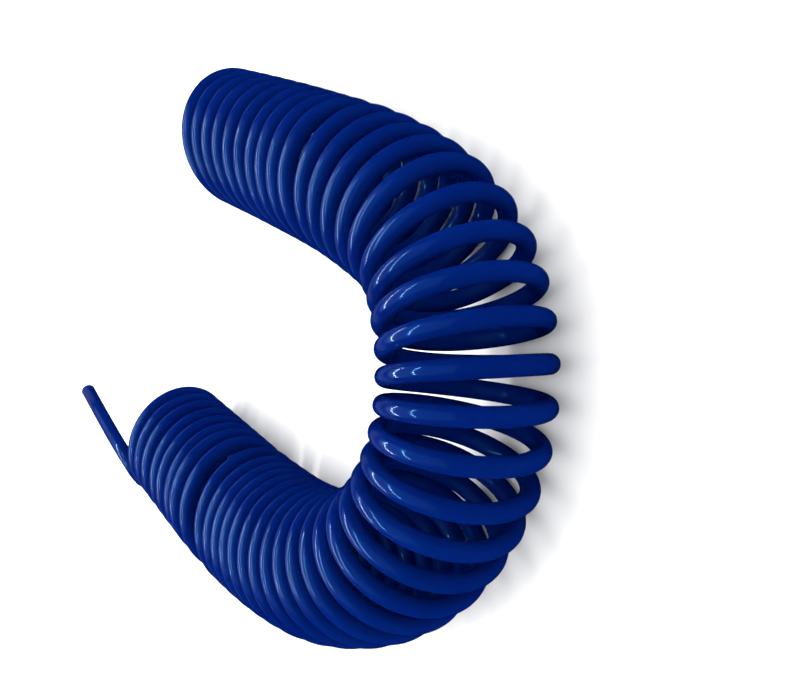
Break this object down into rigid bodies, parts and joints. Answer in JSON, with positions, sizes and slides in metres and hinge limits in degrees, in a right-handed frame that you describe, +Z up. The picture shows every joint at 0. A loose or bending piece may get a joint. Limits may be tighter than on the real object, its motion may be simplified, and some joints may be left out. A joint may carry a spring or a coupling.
{
  "type": "coiled air hose",
  "caption": "Recoil air hose of plain tube wound as a spring, bent into a U on a surface, with bare cut ends for push-in or barbed fittings",
  "frame": {"origin": "the middle of the hose's footprint, on the surface that it lies on", "axes": "+Z is up; +Y runs along the U from the bend towards the open side where both ends are; +X points to the leg with the hidden end"},
  "size_m": [0.2737, 0.3734, 0.069],
  "materials": {
    "blue_tube": "gloss"
  },
  "bodies": {
    "root": {"coil_first_leg": "blue_tube", "coil_bend": "blue_tube", "coil_second_leg": "blue_tube", "coil_slipped_turns": "blue_tube", "free_end": "blue_tube", "hidden_end": "blue_tube"}
  },
  "joints": []
}
